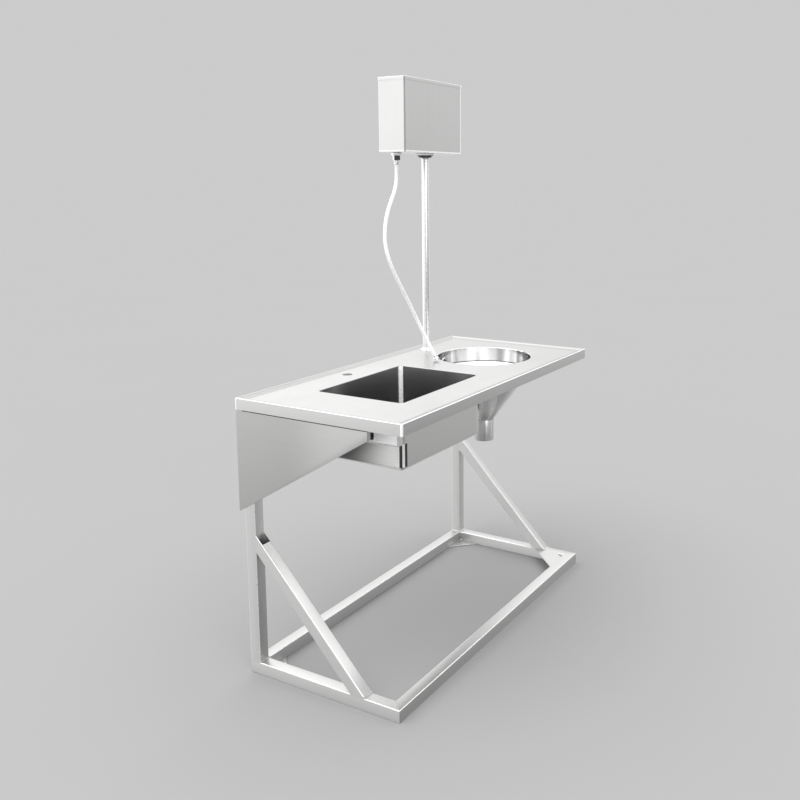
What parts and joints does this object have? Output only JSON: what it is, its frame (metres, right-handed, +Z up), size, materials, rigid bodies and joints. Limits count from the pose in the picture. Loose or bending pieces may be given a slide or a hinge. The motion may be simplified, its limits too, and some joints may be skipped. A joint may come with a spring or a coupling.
{
  "type": "wash bench with slop hopper and high-level cistern",
  "caption": "Stainless steel wash bench on a welded tube stand, with a rectangular bowl, a round slop hopper and a high-level flushing cistern joined to it by a pipe and a hose.",
  "frame": {"origin": "on the floor, under the middle of the worktop's length and depth", "axes": "+X along the length from the bowl to the hopper, -Y towards the user, +Y towards the wall, +Z up"},
  "size_m": [1.3, 0.62, 1.9335],
  "materials": {
    "sheet_brushed": "fine brushed stainless sheet, grain along the length",
    "tube_brushed": "brushed stainless square tube with ground welds",
    "stainless_polished": "polished stainless",
    "chrome_fittings": "chrome plated",
    "rubber_black": "matt black rubber",
    "plastic_white": "moulded white plastic",
    "brass_fittings": "machined brass",
    "hose_braid": "woven stainless wire braid"
  },
  "bodies": {
    "stand": {"worktop": "sheet_brushed", "sink_bowl": "sheet_brushed", "bowl_bracket_left": "sheet_brushed", "bowl_bracket_right": "sheet_brushed", "side_panel_left": "sheet_brushed", "side_panel_right": "sheet_brushed", "cistern_body": "sheet_brushed", "cistern_wall_plate": "sheet_brushed", "floor_rail_left": "tube_brushed", "floor_rail_right": "tube_brushed", "floor_rail_front": "tube_brushed", "floor_rail_rear": "tube_brushed", "upright_left": "tube_brushed", "upright_right": "tube_brushed", "brace_left": "tube_brushed", "brace_right": "tube_brushed", "top_arm_left": "tube_brushed", "top_arm_right": "tube_brushed", "top_rail_front": "tube_brushed", "top_rail_rear": "tube_brushed", "corner_plate_front_left": "tube_brushed", "corner_plate_front_right": "tube_brushed", "corner_plate_rear_left": "tube_brushed", "corner_plate_rear_right": "tube_brushed", "hopper_band": "stainless_polished", "hopper_cone": "stainless_polished", "hopper_outlet": "stainless_polished", "flush_pipe": "stainless_polished", "pipe_rosette": "stainless_polished", "flush_elbow": "stainless_polished", "flush_nut": "chrome_fittings", "inlet_nut": "chrome_fittings", "hose_nut": "chrome_fittings", "hose_end_connector": "chrome_fittings", "waste_flange": "chrome_fittings", "panel_screw_left_1": "chrome_fittings", "panel_screw_left_2": "chrome_fittings", "panel_screw_left_3": "chrome_fittings", "panel_screw_right_1": "chrome_fittings", "panel_screw_right_2": "chrome_fittings", "panel_screw_right_3": "chrome_fittings", "waste_seal": "rubber_black", "waste_nut": "plastic_white", "waste_body": "plastic_white", "rocker_bracket": "plastic_white", "flush_valve_seat": "plastic_white", "fill_valve_body": "brass_fittings", "float_pin": "brass_fittings", "rocker_pin": "brass_fittings", "supply_hose": "hose_braid"},
    "lid": {"cistern_lid": "sheet_brushed", "button_bezel": "chrome_fittings"},
    "push_button": {"flush_button": "chrome_fittings"},
    "rocker": {"rocker_lever": "plastic_white"},
    "flush_valve": {"flush_valve_stem": "plastic_white", "flush_valve_seal": "rubber_black"},
    "float_lever": {"float_arm": "brass_fittings", "float": "plastic_white"},
    "piston": {"inlet_piston": "brass_fittings"},
    "strainer": {"waste_strainer": "chrome_fittings"}
  },
  "joints": [
    {"name": "lid_lift", "type": "slide", "parent": "stand", "child": "lid", "axis": [0, 0, 1], "range_m": [0, 0.25]},
    {"name": "button_press", "type": "slide", "parent": "lid", "child": "push_button", "axis": [0, 0, -1], "range_m": [0, 0.008], "stiffness_N_per_m": 150, "springref_m": -0.01},
    {"name": "rocker_tilt", "type": "hinge", "parent": "stand", "child": "rocker", "pos_m": [0.316, 0.248, 1.9], "axis": [0, -1, 0], "range_deg": [0, 13.6]},
    {"name": "valve_lift", "type": "slide", "parent": "stand", "child": "flush_valve", "axis": [0, 0, 1], "range_m": [0, 0.0096]},
    {"name": "float_rise", "type": "hinge", "parent": "stand", "child": "float_lever", "pos_m": [0.174, 0.248, 1.852], "axis": [0, -1, 0], "range_deg": [0, 40]},
    {"name": "piston_close", "type": "slide", "parent": "stand", "child": "piston", "axis": [-1, 0, 0], "range_m": [0, 0.0045]},
    {"name": "strainer_lift", "type": "slide", "parent": "stand", "child": "strainer", "axis": [0, 0, 1], "range_m": [0, 0.25]}
  ],
  "couplings": [
    {"joint": "rocker_tilt", "follows": "button_press", "rad_per_m": 29.6},
    {"joint": "valve_lift", "follows": "button_press", "ratio": 1.1875},
    {"joint": "piston_close", "follows": "float_rise", "m_per_rad": 0.00644}
  ]
}
